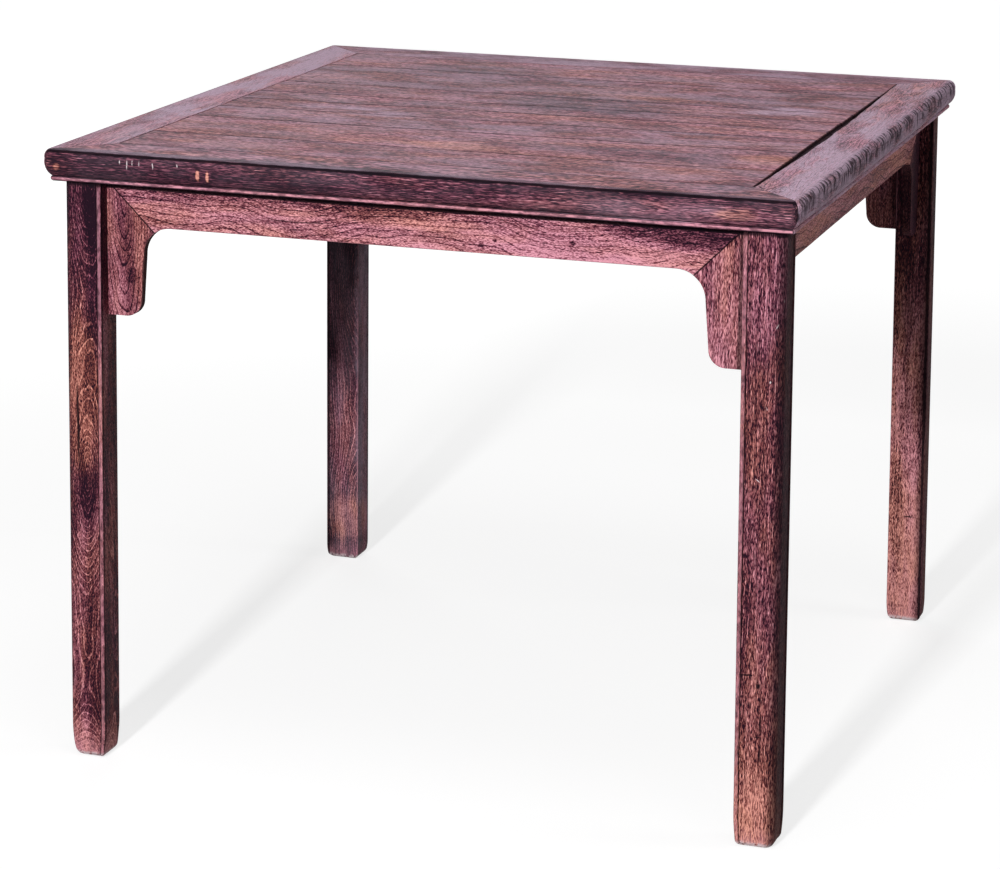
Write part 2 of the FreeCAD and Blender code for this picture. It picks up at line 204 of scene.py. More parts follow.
def rosewood_group():
    """Shared nodes of the wood: growth rings, fibres, pores and streaks, then dust with painted sheen, wear
    with painted highlights, scuffs, and grime with painted shade
    """
    tree = bpy.data.node_groups.new("rosewood", "ShaderNodeTree")
    tree.interface.new_socket("Grain", in_out="INPUT", socket_type="NodeSocketVector")
    for name, value in WOOD_INPUTS.items():
        socket = tree.interface.new_socket(name, in_out="INPUT", socket_type="NodeSocketFloat")
        socket.default_value = value
    tree.interface.new_socket("Color", in_out="OUTPUT", socket_type="NodeSocketColor")
    tree.interface.new_socket("Roughness", in_out="OUTPUT", socket_type="NodeSocketFloat")
    tree.interface.new_socket("Height", in_out="OUTPUT", socket_type="NodeSocketFloat")
    given = tree.nodes.new("NodeGroupInput").outputs
    result = tree.nodes.new("NodeGroupOutput").inputs

    sway = stretched_noise(tree, given["Grain"], (9, 45, 45), 2.0).outputs["Color"]
    sway = add(tree, "VectorMath", sway, (0.5, 0.5, 0.5), operation="SUBTRACT").outputs[0]
    sway = add(tree, "VectorMath", sway, (0.0, 0.006, 0.006), operation="MULTIPLY").outputs[0]
    place = add(tree, "VectorMath", given["Grain"], sway, operation="ADD").outputs[0]

    along = add(tree, "SeparateXYZ", place).outputs["X"]
    swing = maths(tree, "SINE", maths(tree, "MULTIPLY", along, WAVE_RATE))
    swing = add(tree, "CombineXYZ", 0.0, maths(tree, "MULTIPLY", swing, given["Wave"]), 0.0).outputs[0]
    across = add(tree, "VectorMath", place, (0, 1, 1), swing, operation="MULTIPLY_ADD").outputs[0]
    radius = add(tree, "VectorMath", across, operation="LENGTH").outputs["Value"]
    swell = stretched_noise(tree, place, (5, 3, 3), 2.0, 5.0).outputs["Fac"]
    ring = maths(tree, "MULTIPLY", radius, given["Rings"])
    ring = maths(tree, "MULTIPLY_ADD", swell, given["Flame"], ring)
    year = maths(tree, "FLOOR", ring)
    season = maths(tree, "SUBTRACT", ring, year)
    year_tone = add(tree, "TexWhiteNoise", None, year, noise_dimensions="1D").outputs["Value"]
    pale_line = maths(tree, "MULTIPLY", ramp(tree, season, 0.74, 0.90), ramp(tree, season, 1.0, 0.95))
    dark_line = maths(tree, "MULTIPLY", ramp(tree, season, 0.18, 0.0), given["Line"])

    fineness = add(tree, "CombineXYZ", given["Shortness"], given["Fineness"], given["Fineness"]).outputs[0]
    fine = add(tree, "VectorMath", place, fineness, operation="MULTIPLY").outputs[0]
    fibre = stretched_noise(tree, fine, (300, 1300, 1300), 1.0, 2.0).outputs["Fac"]
    fibre = ramp(tree, fibre, 0.38, 0.62, -1.0, 1.0)
    thread = stretched_noise(tree, fine, (34, 720, 720), 1.0, 3.0).outputs["Fac"]
    thread = ramp(tree, thread, 0.34, 0.66, -1.0, 1.0)
    dash = stretched_noise(tree, fine, (150, 950, 950), 0.0, 7.0).outputs["Fac"]
    fleck = ramp(tree, dash, 0.34, 0.24)
    pore = ramp(tree, dash, 0.62, 0.72)
    broadness = add(tree, "CombineXYZ", 1.0, given["Fineness"], given["Fineness"]).outputs[0]
    broad = add(tree, "VectorMath", place, broadness, operation="MULTIPLY").outputs[0]
    streak = stretched_noise(tree, broad, (5, 42, 42), 2.0, 11.0).outputs["Fac"]
    streak = ramp(tree, streak, 0.3, 0.7, -1.0, 1.0)

    grain = maths(tree, "MULTIPLY_ADD", fibre, 0.75, maths(tree, "MULTIPLY", thread, 0.25))
    grain = maths(tree, "MULTIPLY_ADD", pore, -0.8, grain)
    grain = maths(tree, "MULTIPLY_ADD", fleck, 0.8, grain)
    figure = maths(tree, "MULTIPLY_ADD", year_tone, 0.4, pale_line)
    figure = maths(tree, "SUBTRACT", figure, 0.4)
    tone = maths(tree, "ADD", given["Tone"], 0.5)
    tone = maths(tree, "MULTIPLY_ADD", streak, given["Streak"], tone)
    tone = maths(tree, "MULTIPLY_ADD", grain, given["Fibre"], tone)
    tone = maths(tree, "MULTIPLY_ADD", figure, given["Line"], tone)

    hue = stretched_noise(tree, place, (7, 30, 30), 2.0, 17.0).outputs["Fac"]
    hue = maths(tree, "ADD", ramp(tree, hue, 0.35, 0.65, -0.3, 0.3), given["Warmth"])
    hue = maths(tree, "MINIMUM", maths(tree, "MAXIMUM", hue, 0.0), 1.0)
    pale = blend(tree, hue, *PALE_WOOD)
    colour = blend(tree, ramp(tree, tone, 0.05, 0.36), DEEP_WOOD, blend(tree, hue, *DARK_WOOD))
    colour = blend(tree, ramp(tree, tone, 0.30, 0.66), colour, blend(tree, hue, *ROSE_WOOD))
    colour = blend(tree, ramp(tree, tone, 0.62, 1.05), colour, pale)

    # Dust on faces turned up, with a share on upright faces that also paints a sheen there
    upward = add(tree, "SeparateXYZ", add(tree, "NewGeometry").outputs["True Normal"]).outputs["Z"]
    haze = stretched_noise(tree, place, (9, 24, 24), 3.0, 23.0).outputs["Fac"]
    haze = maths(tree, "MULTIPLY", ramp(tree, haze, 0.36, 0.64, 0.30, 1.40), given["Dust"])
    haze = maths(tree, "MULTIPLY", haze, ramp(tree, upward, 0.75, 0.97, given["Film"], 1.0))
    haze = maths(tree, "MULTIPLY", haze, ramp(tree, grain, -1.0, 1.0, 0.55, 1.2))
    haze = maths(tree, "MULTIPLY", haze, maths(tree, "SUBTRACT", 1.0, dark_line))
    colour = blend(tree, maths(tree, "MINIMUM", haze, 1.0), colour, DUST_AND_SHEEN)
    patchy = stretched_noise(tree, given["Grain"], (90, 220, 220), 3.0, 29.0).outputs["Fac"]
    # Rubbed wear, pale, which also paints highlights on the beads
    rubbed_and_highlit = maths(tree, "MULTIPLY", given["WearAndHighlight"], ramp(tree, patchy, 0.38, 0.62, 0.3, 1.0))
    worn_and_highlit = blend(tree, maths(tree, "MULTIPLY", hue, 0.4), *PALE_WOOD)
    colour = blend(tree, maths(tree, "MINIMUM", maths(tree, "MULTIPLY", rubbed_and_highlit, 0.85), 1.0), colour, worn_and_highlit)
    # Pale scuffs, one of which partly paints a highlight along the front arris
    pale_marks = maths(tree, "MULTIPLY", given["ScuffAndHighlight"], ramp(tree, patchy, 0.36, 0.52))
    colour = blend(tree, maths(tree, "MINIMUM", pale_marks, 1.0), colour, SCUFF_AND_HIGHLIGHT)
    # Grime and painted shade, as near-black soot
    dark_share = maths(tree, "MINIMUM", given["GrimeAndShade"], 1.0)
    colour = blend(tree, maths(tree, "MULTIPLY", dark_share, 0.95), colour, SOOT_AND_SHADE)
    tree.links.new(colour, result["Color"])

    rough = maths(tree, "MULTIPLY_ADD", haze, 0.15, ramp(tree, patchy, 0.3, 0.7, 0.52, 0.66))
    tree.links.new(maths(tree, "MULTIPLY_ADD", dark_share, 0.2, rough), result["Roughness"])
    height = maths(tree, "MULTIPLY_ADD", fibre, 0.25, maths(tree, "MULTIPLY", thread, 0.15))
    height = maths(tree, "MULTIPLY_ADD", pore, -0.7, height)
    tree.links.new(maths(tree, "MULTIPLY_ADD", dark_share, -1.5, height), result["Height"])
    return tree


WOOD_GROUP = rosewood_group()
WOOD_GLOSS = 0.05
GRAIN_BUMP = 0.6
GRAIN_DEPTH = 0.0006
# Turns that lay the grain along each axis of the table
GRAIN_TURNS = {X: (0, 0, 0), Y: (0, 0, math.radians(-90)), Z: (0, math.radians(90), 0)}


def spot(kind, centre, size, strength, turn=(0, 0, 0), sway=0.006, core=0.4, breaks=None):
    """A local mark: the input it changes, its place and half sizes, how much it wanders, its full share and
    the scale of the noise that breaks it up"""
    return {"kind": kind, "centre": centre, "size": size, "strength": strength, "turn": turn,
            "sway": sway, "core": core, "breaks": breaks}


def spot_mask(tree, place, wobble, mark):
    """One in the middle of a mark and nothing at its rim"""
    sway = (mark["sway"],) * 3
    moved = add(tree, "VectorMath", wobble, sway, place, operation="MULTIPLY_ADD").outputs[0]
    unit = add(tree, "Mapping", moved, mark["centre"], mark["turn"], mark["size"], vector_type="TEXTURE")
    distance = add(tree, "VectorMath", unit.outputs[0], operation="LENGTH").outputs["Value"]
    mask = ramp(tree, distance, 1.0, mark["core"])
    if mark["breaks"]:
        turned = add(tree, "Mapping", place, (0, 0, 0), mark["turn"]).outputs[0]
        broken = stretched_noise(tree, turned, mark["breaks"], 1.0, 13.0).outputs["Fac"]
        mask = maths(tree, "MULTIPLY", mask, ramp(tree, broken, 0.46, 0.58))
    return mask


def rosewood(name, grain, pith, seed, marks=(), lean=(0, 0, 0), **values):
    """Finish of one piece: its grain axis, a point on the heart of its log, where along the log it was cut,
    its local marks, how the log leans and its wood inputs"""
    material = bpy.data.materials.new(name)
    material.use_nodes = True
    tree = material.node_tree
    tree.nodes.clear()
    place = add(tree, "TexCoord").outputs["Object"]
    wood = tree.nodes.new("ShaderNodeGroup")
    wood.node_tree = WOOD_GROUP
    turn = tuple(first + second for first, second in zip(GRAIN_TURNS[grain], lean))
    shift = Vector((seed, 0, 0)) - Euler(turn).to_matrix() @ Vector(pith)
    along = add(tree, "Mapping", place, shift, turn).outputs[0]
    tree.links.new(along, wood.inputs["Grain"])
    sums = {"WearAndHighlight": add(tree, "Attribute", attribute_name="wear_and_highlight").outputs["Fac"],
            "GrimeAndShade": add(tree, "Attribute", attribute_name="grime_and_shade").outputs["Fac"]}
    wobble = stretched_noise(tree, place, (60, 60, 60), 2.0, 1.0).outputs["Color"]
    wobble = add(tree, "VectorMath", wobble, (0.5, 0.5, 0.5), operation="SUBTRACT").outputs[0]
    for mark in marks:
        kind = mark["kind"]
        so_far = sums.get(kind, values.get(kind, WOOD_INPUTS[kind]))
        mask = spot_mask(tree, place, wobble, mark)
        sums[kind] = maths(tree, "MULTIPLY_ADD", mask, mark["strength"], so_far)
    for kind, value in values.items():
        wood.inputs[kind].default_value = value
    for kind, socket in sums.items():
        tree.links.new(socket, wood.inputs[kind])
    shader = add(tree, "BsdfPrincipled")
    tree.links.new(wood.outputs["Color"], shader.inputs["Base Color"])
    tree.links.new(wood.outputs["Roughness"], shader.inputs["Roughness"])
    shader.inputs["Specular IOR Level"].default_value = WOOD_GLOSS
    bump = tree.nodes.new("ShaderNodeBump")
    bump.inputs["Strength"].default_value = GRAIN_BUMP
    bump.inputs["Distance"].default_value = GRAIN_DEPTH
    tree.links.new(wood.outputs["Height"], bump.inputs["Height"])
    tree.links.new(bump.outputs["Normal"], shader.inputs["Normal"])
    out = tree.nodes.new("ShaderNodeOutputMaterial")
    tree.links.new(shader.outputs["BSDF"], out.inputs["Surface"])
    return material


TOP_HALF = cad_box[1][X]
LEG_OVERHANG = 0.020
LEG_WIDTH = 0.053
LEG_DEPTH = 0.046
LEG_SPLAY = 0.0115
LEG_BEAD_WIDTH = 0.0055
LEG_QUIRK = 0.0012
LEG_STEP = 0.014
LEG_EDGE = 0.0016
LEG_WEAR = 0.0006
# How pale the legs' beads are: rubbed wear with a painted highlight
LEG_BEAD_RUB_AND_HIGHLIGHT = 0.55
# Width and depth of the painted shade on the legs' inner faces beside the beads
BEAD_SHADE_WIDTH = 0.004
BEAD_SHADE_DEPTH = 0.0022
FOOT_TOP = 0.050
FOOT_STEP = 0.0025
FOOT_RUB_HEIGHT = 0.030
FOOT_RUB = 0.7
FOOT_UNEVENNESS = 0.35
WEAR_GRAIN = 40.0
APRON_TONGUE = 0.005
HAIR = 0.0003
# Half size of a mark that runs past both ends of its piece
FAR = 2.0
leg_face = TOP_HALF - LEG_OVERHANG
frame_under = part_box("apron_front")[1].z - APRON_TONGUE
leg_slope = LEG_SPLAY / frame_under
leg_marks = {
    "leg_front_left": [
        spot("Tone", (-0.442, -0.480, 0.750), (0.016, 0.03, 0.065), -0.40),
        spot("Tone", (-0.455, -0.480, 0.720), (0.060, 0.06, 0.140), -0.28),
        spot("Tone", (-0.455, -0.485, 0.510), (0.035, 0.03, 0.130), 0.28),
        spot("Warmth", (-0.455, -0.485, 0.500), (0.040, 0.03, 0.150), 0.7),
        spot("Warmth", (-0.445, -0.480, 0.720), (0.040, 0.03, 0.120), -0.4),
        spot("GrimeAndShade", (-0.467, -0.485, 0.470), (0.0026, 0.02, 0.070), 1.1, sway=0.004),
        spot("Tone", (-0.456, -0.486, 0.370), (0.013, 0.03, 0.060), -0.30),
        spot("Tone", (-0.460, -0.490, 0.010), (0.060, 0.06, 0.070), 0.36)],
    "leg_front_right": [
        spot("Tone", (0.455, -0.480, 0.740), (0.05, 0.05, 0.12), 0.13),
        spot("Warmth", (0.455, -0.480, 0.740), (0.05, 0.05, 0.14), -0.5),
        spot("Tone", (0.460, -0.485, 0.450), (0.05, 0.05, 0.18), 0.08),
        spot("Tone", (0.462, -0.488, 0.170), (0.05, 0.05, 0.16), 0.14),
        spot("ScuffAndHighlight", (0.479, -0.482, 0.709), (0.0009, 0.01, 0.0036), 0.8, sway=0.003),
        spot("ScuffAndHighlight", (0.473, -0.482, 0.678), (0.0009, 0.01, 0.0044), 0.8, (0, 0.5, 0), sway=0.003),
        spot("ScuffAndHighlight", (0.4665, -0.483, 0.608), (0.0014, 0.01, 0.0020), 0.8, sway=0.003),
        spot("ScuffAndHighlight", (0.463, -0.483, 0.575), (0.0009, 0.01, 0.0036), 0.8, (0, -0.5, 0), sway=0.003),
        spot("ScuffAndHighlight", (0.455, -0.485, 0.483), (0.0009, 0.01, 0.0044), 0.8, (0, -0.9, 0), sway=0.003),
        spot("GrimeAndShade", (0.449, -0.488, 0.231), (0.012, 0.01, 0.0016), 1.0, sway=0.003),
        spot("GrimeAndShade", (0.464, -0.488, 0.218), (0.004, 0.01, 0.005), 1.0, sway=0.003),
        spot("GrimeAndShade", (0.4685, -0.489, 0.168), (0.0022, 0.01, 0.014), 0.9, sway=0.004),
        spot("GrimeAndShade", (0.4655, -0.489, 0.150), (0.0055, 0.01, 0.0018), 0.9, sway=0.003),
        spot("GrimeAndShade", (0.4685, -0.489, 0.128), (0.0018, 0.01, 0.016), 0.9, sway=0.004),
        spot("Tone", (0.470, -0.490, 0.010), (0.060, 0.06, 0.120), 0.36),
        spot("Warmth", (0.470, -0.490, 0.010), (0.060, 0.06, 0.240), 0.7)],
    "leg_back_left": [
        spot("Tone", (-0.454, 0.450, 0.070), (0.06, 0.06, 0.05), 0.38),
        spot("Warmth", (-0.454, 0.450, 0.070), (0.06, 0.06, 0.06), 0.7),
        # A painted sheen on the back left leg's right-hand face
        spot("Dust", (-0.432, 0.455, 0.400), (0.009, 0.06, FAR), 0.9),
        # Painted shade of the table top on the upper part of the back left leg
        spot("Tone", (-0.450, 0.450, 0.640), (0.08, 0.08, 0.22), -0.42)],
    "leg_back_right": [
        spot("GrimeAndShade", (0.467, 0.443, 0.170), (0.010, 0.01, 0.0020), 0.9, sway=0.003),
        # Painted shade of the table top on the upper part of the back right leg
        spot("Tone", (0.450, 0.450, 0.650), (0.08, 0.08, 0.18), -0.45),
        spot("Tone", (0.467, 0.450, 0.060), (0.06, 0.06, 0.16), 0.12)],
}
leg_woods = {
    "leg_front_left": {"pith": (-0.4685, -0.482, 0), "seed": 2.98, "lean": (0, -0.033, 0), "Tone": -0.20,
                       "Rings": 430.0, "Flame": 14.0, "Wave": 0.034, "Line": 0.42, "Fibre": 0.34,
                       "Warmth": 0.42},
    "leg_front_right": {"pith": (0.25, -0.30, 0), "seed": 7.7, "Tone": -0.20, "Rings": 260.0, "Flame": 3.0,
                        "Line": 0.30, "Fibre": 0.44, "Streak": 0.12, "Shortness": 0.6, "Warmth": 0.5},
    # The back left leg's dust and its share on upright faces are partly a painted sheen
    "leg_back_left": {"pith": (-0.43, 0.440, 0), "seed": 11.3, "Tone": -0.23, "Rings": 280.0, "Flame": 10.0,
                      "Wave": 0.030, "Line": 0.5, "Fibre": 0.30, "Warmth": 0.15, "Dust": 0.5, "Film": 0.22},
    "leg_back_right": {"pith": (0.25, 0.30, 0), "seed": 16.9, "Tone": 0.24, "Rings": 240.0, "Flame": 3.0,
                       "Line": 0.25, "Fibre": 0.48, "Shortness": 0.7, "Warmth": 0.6},
}
# Share of the section that is worn away at the floor, and the height at which the rounding starts
foot_rounds = {
    "leg_front_left": (0.28, 0.050),
    "leg_front_right": (0.18, 0.050),
    "leg_back_left": (0.20, 0.024),
    "leg_back_right": (0.20, 0.034),
}


def section_place(point):
    """How far a point lies in from the leg's two outer faces"""
    face = leg_face + leg_slope * (frame_under - point.z)
    return face - abs(point.x), face - abs(point.y)


def at_inner_corner(point):
    u, v = section_place(point)
    return u > LEG_WIDTH - LEG_EDGE and v > LEG_DEPTH - LEG_EDGE and point.z < frame_under


# Paleness of a leg's beads: rubbed wear with a painted highlight
def leg_bead_rub_and_highlight(point):
    on_bead = min(section_place(point)) < -HAIR and point.z < frame_under
    return LEG_BEAD_RUB_AND_HIGHLIGHT if on_bead else 0.0


def quirk_shade(point):
    """Painted shade, full in the narrow groove beside each bead"""
    u, v = section_place(point)
    in_front = abs(v - LEG_QUIRK) < HAIR and abs(u - LEG_WIDTH + LEG_BEAD_WIDTH) < 2 * LEG_QUIRK
    in_side = abs(u - LEG_QUIRK) < HAIR and abs(v - LEG_DEPTH + LEG_BEAD_WIDTH) < 2 * LEG_QUIRK
    return 1.0 if in_front or in_side else 0.0


def foot_rubbed(point):
    return FOOT_RUB * max(0.0, 1 - point.z / FOOT_RUB_HEIGHT)


def wear_foot_round(bm, side_x, side_y, shrink, round_height):
    """Draws the foot in towards the middle of the leg, unevenly and along a quarter circle"""
    for vert in bm.verts:
        if vert.co.z < round_height:
            face = leg_face + leg_slope * (frame_under - vert.co.z)
            share = shrink * (1 - math.sqrt(1 - (1 - max(vert.co.z, 0.0) / round_height) ** 2))
            share *= 1 + FOOT_UNEVENNESS * noise.noise(vert.co * WEAR_GRAIN)
            vert.co.x += (side_x * (face - LEG_WIDTH / 2) - vert.co.x) * share
            vert.co.y += (side_y * (face - LEG_DEPTH / 2) - vert.co.y) * share


def painted_shade_and_scuffed_rim(side_x, side_y):
    """Painted shade beside the beads, on the legs' faces at the right-hand side of the table and under the
    frame, and a scuffed rim at the floor"""
    turn = (side_y * leg_slope, -side_x * leg_slope, 0)
    face = leg_face + LEG_SPLAY / 2
    middle = frame_under / 2
    front_bead = (side_x * (face - LEG_WIDTH), side_y * (face - BEAD_SHADE_DEPTH), middle)
    side_bead = (side_x * (face - BEAD_SHADE_DEPTH), side_y * (face - LEG_DEPTH), middle)
    return [
        spot("GrimeAndShade", front_bead, (BEAD_SHADE_WIDTH, BEAD_SHADE_DEPTH, FAR), 0.85, turn, sway=0.0, core=0.6),
        spot("GrimeAndShade", side_bead, (BEAD_SHADE_DEPTH, BEAD_SHADE_WIDTH, FAR), 0.85, turn, sway=0.0, core=0.6),
        spot("GrimeAndShade", (face, 0, middle), (0.016, FAR, FAR), 0.85, turn, sway=0.003, core=0.15),
        spot("GrimeAndShade", (0, 0, frame_under), (FAR, FAR, 0.009), 0.9, sway=0.0, core=0.6),
        spot("ScuffAndHighlight", (0, 0, 0), (FAR, FAR, 0.011), 0.9, sway=0.006)]


for node, wood_values in leg_woods.items():
    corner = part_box(node)[0]
    side_x = math.copysign(1, corner.x)
    side_y = math.copysign(1, corner.y)
    bm = copy_of(node)
    cut_across(bm, Z, steps(0.0, FOOT_TOP, FOOT_STEP) + steps(FOOT_TOP, frame_under, LEG_STEP))
    ease(bm, sharp_edges(bm, at_inner_corner), LEG_EDGE, LEG_WEAR, "wear_and_highlight")
    mark_where(bm, "wear_and_highlight", leg_bead_rub_and_highlight)
    mark_where(bm, "wear_and_highlight", foot_rubbed)
    mark_where(bm, "grime_and_shade", quirk_shade)
    wear_foot_round(bm, side_x, side_y, *foot_rounds[node])
    marks = leg_marks[node] + painted_shade_and_scuffed_rim(side_x, side_y)
    finish = rosewood("rosewood_" + node, Z, marks=marks, **wood_values)
    finish_piece(bm, node + "_worn", node, finish)

# Aprons and spandrels: boards of rose-coloured wood under the frame, mitred where the upright spandrels
# turn into the apron. They are tongued into the legs and the frame, and their edges are rubbed soft.
APRON_STEP = 0.016
APRON_EDGE = 0.0011
APRON_WEAR = 0.0004
MITRE_EDGE = 0.0007
MITRE_LINE = 0.0013
half_spans = {"front": leg_face - LEG_WIDTH, "right": leg_face - LEG_DEPTH}
half_spans["back"] = half_spans["front"]
half_spans["left"] = half_spans["right"]
side_axes = {"front": X, "back": X, "left": Y, "right": Y}


def on_mitre(side):
    """Test for points on the mitre between the apron and the spandrels of one side"""
    axis = side_axes[side]

    def test(point):
        return abs(half_spans[side] - abs(point[axis]) - frame_under + point.z) < HAIR
    return test


def mitre_lines(side):
    """Dark lines along the two mitres of one side"""
    lines = []
    for end in (-1, 1):
        reach = end * half_spans[side]
        tilt = end * math.radians(45)
        if side_axes[side] == X:
            corner, size, turn = (reach, 0, frame_under), (MITRE_LINE, FAR, FAR), (0, tilt, 0)
        else:
            corner, size, turn = (0, reach, frame_under), (FAR, MITRE_LINE, FAR), (-tilt, 0, 0)
        lines.append(spot("GrimeAndShade", corner, size, 0.95, turn, sway=0.001, core=0.5))
    return lines


def dress_under_frame(node, side, axis, finish):
    """Wears an apron or a spandrel: dark along its mitre, rubbed along its other edges"""
    low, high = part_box(node)
    mitre = on_mitre(side)
    bm = copy_of(node)
    top_end = min(high[axis], frame_under) if axis == Z else high[axis]
    cut_across(bm, axis, steps(low[axis], top_end, APRON_STEP))
    ease(bm, sharp_edges(bm, lambda point: mitre(point) and point.z < frame_under), MITRE_EDGE, 0.0, "grime_and_shade")
    ease(bm, sharp_edges(bm, lambda point: point.z < frame_under - HAIR and not mitre(point)),
         APRON_EDGE, APRON_WEAR, "wear_and_highlight")
    finish_piece(bm, node + "_worn", node, finish)


# Painted shadow of the frame on the top of the aprons and spandrels: a near-black band and a darker tone below
# it
painted_frame_shadow = [spot("GrimeAndShade", (0, 0, frame_under), (FAR, FAR, 0.0115), 0.98, sway=0.0, core=0.92),
               spot("Tone", (0, 0, frame_under), (FAR, FAR, 0.025), -0.10, sway=0.004)]
apron_values = {"Rings": 150.0, "Flame": 13.0, "Line": -0.38, "Fibre": 0.38, "Streak": 0.18}
apron_finishes = {
    "front": rosewood(
        "rosewood_apron_front", X, (0, -0.44, 0.72), 2.3, Tone=0.14, Warmth=0.4, **apron_values,
        marks=painted_frame_shadow + mitre_lines("front") + [
            spot("Tone", (0.050, -0.461, 0.754), (0.20, 0.03, 0.030), 0.10),
            spot("Tone", (0.345, -0.461, 0.777), (0.11, 0.03, 0.020), -0.45),
            spot("Warmth", (0.345, -0.461, 0.777), (0.12, 0.03, 0.025), -0.6),
            spot("Tone", (0.250, -0.461, 0.745), (0.22, 0.03, 0.030), 0.24),
            spot("Warmth", (0.250, -0.461, 0.760), (0.24, 0.03, 0.040), -0.4),
            spot("Tone", (-0.060, -0.461, 0.775), (0.10, 0.03, 0.012), -0.20),
            spot("Tone", (0.2065, -0.461, 0.7573), (0.005, 0.02, 0.0035), -0.75),
            spot("Tone", (0.0876, -0.461, 0.746), (0.005, 0.02, 0.004), -0.6),
            spot("Tone", (0.104, -0.461, 0.753), (0.004, 0.02, 0.003), -0.6),
            spot("Tone", (0.360, -0.461, 0.742), (0.004, 0.02, 0.003), -0.6),
            spot("GrimeAndShade", (-0.160, -0.461, 0.757), (0.060, 0.02, 0.0012), 0.8, sway=0.006)]),
    "right": rosewood("rosewood_apron_right", Y, (0.40, 0, 0.70), 5.9, Tone=0.11, Warmth=0.6, **apron_values,
                      marks=painted_frame_shadow + mitre_lines("right")),
    "back": rosewood("rosewood_apron_back", X, (0, 0.40, 0.70), 9.4, Tone=0.12, Warmth=0.3, **apron_values,
                     marks=painted_frame_shadow + mitre_lines("back")),
    "left": rosewood("rosewood_apron_left", Y, (-0.40, 0, 0.70), 13.6, Tone=0.10, Warmth=0.3, **apron_values,
                     marks=painted_frame_shadow + mitre_lines("left")),
}
for side, finish in apron_finishes.items():
    dress_under_frame("apron_" + side, side, side_axes[side], finish)

spandrel_values = {"Rings": 300.0, "Streak": 0.12}
spandrel_finishes = {
    ("front", "left"): rosewood(
        "rosewood_spandrel_front_left", Z, (-0.404, -0.461, 0.800), 1.7, lean=(0, 0, 0.16), Tone=-0.05,
        Flame=6.0, Line=-0.5, Warmth=0.4, Fibre=0.28, **spandrel_values,
        marks=painted_frame_shadow + mitre_lines("front") + [
            # Painted shade on the spandrel's thick right-hand edge and its back
            spot("GrimeAndShade", (0, -0.4490, 0.700), (FAR, 0.0105, FAR), 0.85, sway=0.0, core=0.85),
            spot("Tone", (-0.402, -0.461, 0.710), (0.015, 0.03, 0.070), -0.16),
            spot("Tone", (-0.392, -0.461, 0.668), (0.014, 0.03, 0.014), -0.20),
            spot("Tone", (-0.420, -0.461, 0.630), (0.030, 0.03, 0.035), 0.10)]),
    ("front", "right"): rosewood(
        "rosewood_spandrel_front_right", Z, (0.25, -0.30, 0), 4.4, Tone=0.04, Flame=3.0, Line=-0.22,
        Warmth=0.4, Shortness=0.6, **spandrel_values,
        marks=painted_frame_shadow + mitre_lines("front") + [
            # Painted shade in the corner beside the front right leg
            spot("GrimeAndShade", (half_spans["front"], -0.461, 0.700), (0.0095, 0.02, FAR), 0.75, sway=0.002,
                 core=0.8),
            spot("Tone", (0.405, -0.461, 0.640), (0.04, 0.03, 0.05), 0.14)]),
}
shaded_back = [spot("Tone", (0.461, 0.45, 0.70), (0.05, 0.12, 0.15), -0.45),
               spot("GrimeAndShade", (0.461, 0.45, 0.67), (0.05, 0.12, 0.11), 0.6, core=0.7)]
other_spandrels = (("right", "front"), ("right", "back"), ("back", "right"), ("back", "left"),
                   ("left", "back"), ("left", "front"))
for number, place in enumerate(other_spandrels):
    spandrel_finishes[place] = rosewood(
        "rosewood_spandrel_%s_%s" % place, Z, (0.3, 0.3, 0), 20.3 + number, Tone=0.06, Flame=4.0, Line=0.2,
        Warmth=0.4, **spandrel_values, marks=painted_frame_shadow + mitre_lines(place[0]) + shaded_back)
for (side, end), finish in spandrel_finishes.items():
    dress_under_frame("spandrel_%s_%s" % (side, end), side, Z, finish)

# Mitre keys: eight loose tenons hidden across the mitres of the aprons and spandrels, split from
# straight-grained offcuts and glued in. They stay as packed and get a plain wood finish.
key_finish = rosewood("key_wood", Z, (0, 0, 0), 31.3, Tone=0.1, Line=0.1)
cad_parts["mitre_keys"].data.materials[0] = key_finish

# Stiles: the front and back members of the frame, moulded outside, with a bead along the bottom.
# Each has a tenon at both ends for the mitred corner, and its arris is chipped and rubbed by use.
STILE_STEP = 0.010
STILE_EDGE = 0.0010
STILE_WEAR = 0.0005
EDGE_FOOT_INSET = 0.0095
BEAD_TOP_DEPTH = 0.0355
BEAD_CROWN = 0.00184
# How pale the frame's bead is: rubbed wear with a painted highlight
BEAD_WEAR_AND_HIGHLIGHT = 1.1
FRAME_WIDTH = 0.074
GROOVE_EDGE_INSET = 0.070
GROOVE_TOP_DEPTH = 0.003
GROOVE_BOTTOM_DEPTH = 0.011
LIP_THICKNESS = 0.0046
LIP_WEAR_MIDDLE = -0.03
LIP_WEAR_REACH = 0.40
LIP_UNEVENNESS = 0.25
top = cad_box[1][Z]


def at_top(point):
    return point.z > top - HAIR


def on_corner_mitre(point):
    return abs(abs(point.x) - abs(point.y)) < HAIR


def wear_lip_back(bm, along, across, depth):
    """Wears the lip over the groove back from the panel, most in the middle of its length"""
    for vert in bm.verts:
        inset = TOP_HALF - abs(vert.co[across])
        if vert.co.z > top - LIP_THICKNESS and abs(inset - FRAME_WIDTH) < 3 * STILE_EDGE:
            share = max(0.0, 1 - ((vert.co[along] - LIP_WEAR_MIDDLE) / LIP_WEAR_REACH) ** 2)
            share *= 1 + LIP_UNEVENNESS * noise.noise(vert.co * WEAR_GRAIN)
            vert.co[across] += math.copysign(depth * share, vert.co[across])


